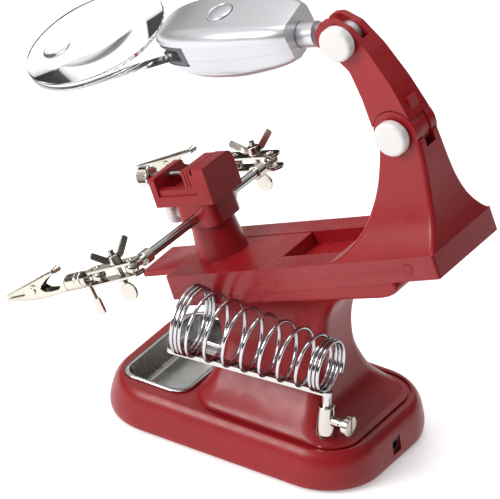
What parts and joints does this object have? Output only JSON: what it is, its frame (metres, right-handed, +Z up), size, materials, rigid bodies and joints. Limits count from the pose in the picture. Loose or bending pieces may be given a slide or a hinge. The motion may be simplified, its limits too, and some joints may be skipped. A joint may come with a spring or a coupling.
{
  "type": "helping hands clamp",
  "caption": "Bench helper with a weighted base and tray, sliding vise post with jointed spring clips, coil iron holder, and a folding lamp arm with a round magnifier.",
  "frame": {"origin": "centre of the base's outline, on the surface the rubber feet stand on", "axes": "+Z up; +X along the base's long side, towards the folding arm; -Y towards the side with the iron holder"},
  "size_m": [0.316, 0.1764, 0.3058],
  "materials": {
    "red_plastic": "satin-gloss dark red moulded plastic",
    "red_cover": "satin dark red moulded plastic",
    "silver_plastic": "silver metallic satin plastic",
    "white_knob": "glossy off-white plastic",
    "black_plastic": "black matte plastic",
    "battery_wrap": "printed wrap over a steel can, blank here",
    "foot_rubber": "black rubber",
    "screw_steel": "zinc-plated steel",
    "tray_steel": "pressed stainless steel, bright rolled rim",
    "rod_metal": "nickel-plated turned steel",
    "knob_metal": "knurled nickel-plated steel",
    "joint_metal": "nickel-plated pressed steel",
    "clip_metal": "nickel-plated sheet steel",
    "spring_steel": "spring steel wire",
    "holder_metal": "nickel-plated steel",
    "lens_acrylic": "clear polished acrylic",
    "window_plastic": "clear window",
    "grip_rubber": "dark grey soft rubber",
    "button_plastic": "silver plastic cap",
    "led_parts": "pale board with clear lamps"
  },
  "bodies": {
    "base": {"base_shell": "red_plastic", "base_bottom_plate": "black_plastic", "battery_door": "black_plastic", "batteries": "battery_wrap", "rubber_feet": "foot_rubber", "base_screws": "screw_steel", "dc_jack": "black_plastic", "tray": "tray_steel", "pedestal_front_half": "red_plastic", "pedestal_rear_half": "red_plastic", "deck_shell": "red_plastic", "deck_bottom_plate": "red_cover", "screw_plugs": "red_plastic", "lower_arm": "red_plastic", "elbow_nut": "screw_steel", "holder_socket": "holder_metal"},
    "carriage": {"carriage": "red_cover", "post": "red_plastic"},
    "head": {"post_head": "red_plastic", "vise_frame": "red_plastic"},
    "vise_jaw": {"vise_jaw": "red_plastic"},
    "vise_screw": {"vise_screw": "knob_metal"},
    "lock_knob": {"lock_knob": "knob_metal"},
    "cross_rod": {"cross_rod": "rod_metal", "front_rod_ball": "rod_metal", "rear_rod_ball": "rod_metal"},
    "front_link": {"front_joint_plates": "joint_metal", "front_joint_bolt": "joint_metal"},
    "front_wing_nut": {"front_wing_nut": "joint_metal"},
    "front_stud": {"front_clip_stud": "joint_metal"},
    "front_thumb_screw": {"front_thumb_screw": "joint_metal"},
    "front_clip": {"front_lower_jaw": "clip_metal", "front_clip_rivet": "clip_metal", "front_clip_spring": "spring_steel"},
    "front_upper_jaw": {"front_upper_jaw": "clip_metal"},
    "rear_link": {"rear_joint_plates": "joint_metal", "rear_joint_bolt": "joint_metal"},
    "rear_wing_nut": {"rear_wing_nut": "joint_metal"},
    "rear_stud": {"rear_clip_stud": "joint_metal"},
    "rear_thumb_screw": {"rear_thumb_screw": "joint_metal"},
    "rear_clip": {"rear_lower_jaw": "clip_metal", "rear_clip_rivet": "clip_metal", "rear_clip_spring": "spring_steel"},
    "rear_upper_jaw": {"rear_upper_jaw": "clip_metal"},
    "holder": {"holder_bar": "holder_metal", "coil_spring": "holder_metal"},
    "holder_thumb_screw": {"holder_thumb_screw": "knob_metal"},
    "upper_arm": {"upper_arm": "red_plastic", "lamp_tilt_nut": "screw_steel"},
    "elbow_knob": {"elbow_knob": "white_knob"},
    "lamp_tilt_knob": {"lamp_tilt_knob": "white_knob"},
    "lamp_stalk": {"lamp_stalk": "silver_plastic"},
    "lamp": {"lamp_bottom_shell": "silver_plastic", "lamp_top_shell": "silver_plastic", "led_board": "led_parts", "lamp_window": "window_plastic", "lens_grip": "grip_rubber", "magnifier_lens": "lens_acrylic"},
    "lamp_button": {"lamp_button": "button_plastic"}
  },
  "joints": [
    {"name": "carriage_slide", "type": "slide", "parent": "base", "child": "carriage", "axis": [0.9198, 0, 0.3923], "range_m": [0, 0.038]},
    {"name": "head_swivel", "type": "hinge", "parent": "carriage", "child": "head", "pos_m": [-0.04501, 0, 0.13174], "axis": [-0.3923, 0, 0.9198], "range_deg": [-90, 90]},
    {"name": "lock_knob_turn", "type": "hinge", "parent": "head", "child": "lock_knob", "pos_m": [-0.06222, 0.00084, 0.13136], "axis": [0.9186, -0.0523, 0.3918], "continuous": true},
    {"name": "vise_jaw_slide", "type": "slide", "parent": "head", "child": "vise_jaw", "axis": [-0.9186, 0.0523, -0.3918], "range_m": [0, 0.018]},
    {"name": "vise_screw_turn", "type": "hinge", "parent": "vise_jaw", "child": "vise_screw", "pos_m": [-0.09036, 0.00188, 0.14643], "axis": [0.9186, -0.0523, 0.3918], "range_deg": [0, 3240]},
    {"name": "cross_rod_slide", "type": "slide", "parent": "head", "child": "cross_rod", "axis": [0.0481, 0.9986, 0.0205], "range_m": [-0.02, 0.02]},
    {"name": "front_ball_turn", "type": "hinge", "parent": "cross_rod", "child": "front_link", "pos_m": [-0.05157, -0.08389, 0.1359], "axis": [0.0481, 0.9986, 0.0205], "range_deg": [-60, 60]},
    {"name": "front_wing_nut_turn", "type": "hinge", "parent": "front_link", "child": "front_wing_nut", "pos_m": [-0.06511, -0.08325, 0.13696], "axis": [-0.5238, 0.0077, 0.8518], "continuous": true},
    {"name": "front_clip_swing", "type": "hinge", "parent": "front_link", "child": "front_stud", "pos_m": [-0.07623, -0.08238, 0.12072], "axis": [-0.5238, 0.0077, 0.8518], "range_deg": [-30, 30]},
    {"name": "front_thumb_screw_turn", "type": "hinge", "parent": "front_stud", "child": "front_thumb_screw", "pos_m": [-0.0793, -0.08191, 0.10475], "axis": [-0.5238, 0.0077, 0.8518], "continuous": true},
    {"name": "front_clip_twist", "type": "hinge", "parent": "front_stud", "child": "front_clip", "pos_m": [-0.08984, -0.08156, 0.11235], "axis": [0.8505, -0.0518, 0.5235], "range_deg": [-90, 90]},
    {"name": "front_jaw_open", "type": "hinge", "parent": "front_clip", "child": "front_upper_jaw", "pos_m": [-0.12364, -0.07953, 0.09296], "axis": [0.0481, 0.9986, 0.0205], "range_deg": [0, 14], "stiffness_Nm_per_rad": 0.02, "springref_deg": -17.19},
    {"name": "rear_ball_turn", "type": "hinge", "parent": "cross_rod", "child": "rear_link", "pos_m": [-0.04415, 0.0699, 0.13907], "axis": [-0.0481, -0.9986, -0.0205], "range_deg": [-60, 60]},
    {"name": "rear_wing_nut_turn", "type": "hinge", "parent": "rear_link", "child": "rear_wing_nut", "pos_m": [-0.05737, 0.07048, 0.14223], "axis": [-0.3843, -0.0005, 0.9232], "continuous": true},
    {"name": "rear_clip_swing", "type": "hinge", "parent": "rear_link", "child": "rear_stud", "pos_m": [-0.07089, 0.07142, 0.12794], "axis": [-0.3843, -0.0005, 0.9232], "range_deg": [-30, 30]},
    {"name": "rear_thumb_screw_turn", "type": "hinge", "parent": "rear_stud", "child": "rear_thumb_screw", "pos_m": [-0.07642, 0.072, 0.11264], "axis": [-0.3843, -0.0005, 0.9232], "continuous": true},
    {"name": "rear_clip_twist", "type": "hinge", "parent": "rear_stud", "child": "rear_clip", "pos_m": [-0.08564, 0.07226, 0.1218], "axis": [0.9219, -0.0523, 0.3838], "range_deg": [-90, 90]},
    {"name": "rear_jaw_open", "type": "hinge", "parent": "rear_clip", "child": "rear_upper_jaw", "pos_m": [-0.12206, 0.0743, 0.10794], "axis": [0.0481, 0.9986, 0.0205], "range_deg": [0, 14], "stiffness_Nm_per_rad": 0.02, "springref_deg": -17.19},
    {"name": "holder_swing", "type": "hinge", "parent": "base", "child": "holder", "pos_m": [0.0638, -0.0365, 0.05], "axis": [0, 0, 1], "range_deg": [0, 40]},
    {"name": "holder_thumb_screw_turn", "type": "hinge", "parent": "base", "child": "holder_thumb_screw", "pos_m": [0.0728, -0.0365, 0.04105], "axis": [1, 0, 0], "continuous": true},
    {"name": "elbow", "type": "hinge", "parent": "base", "child": "upper_arm", "pos_m": [0.09021, 0, 0.24291], "axis": [0, -1, 0], "range_deg": [-25, 17]},
    {"name": "elbow_knob_turn", "type": "hinge", "parent": "base", "child": "elbow_knob", "pos_m": [0.09021, -0.0123, 0.24291], "axis": [0, 1, 0], "continuous": true},
    {"name": "lamp_tilt", "type": "hinge", "parent": "upper_arm", "child": "lamp_stalk", "pos_m": [0.04763, 0, 0.29433], "axis": [0, 1, 0], "range_deg": [-17, 38]},
    {"name": "lamp_tilt_knob_turn", "type": "hinge", "parent": "upper_arm", "child": "lamp_tilt_knob", "pos_m": [0.04763, -0.0098, 0.29433], "axis": [0, 1, 0], "continuous": true},
    {"name": "lamp_twist", "type": "hinge", "parent": "lamp_stalk", "child": "lamp", "pos_m": [-0.00049, 0, 0.27736], "axis": [0.933, 0, 0.36], "range_deg": [-90, 90]},
    {"name": "lamp_button_press", "type": "slide", "parent": "lamp", "child": "lamp_button", "axis": [0.3493, 0.2419, -0.9052], "range_m": [0, 0.0015], "stiffness_N_per_m": 400, "springref_m": -0.0005}
  ],
  "couplings": [
    {"joint": "vise_screw_turn", "follows": "vise_jaw_slide", "rad_per_m": 3141.6}
  ]
}
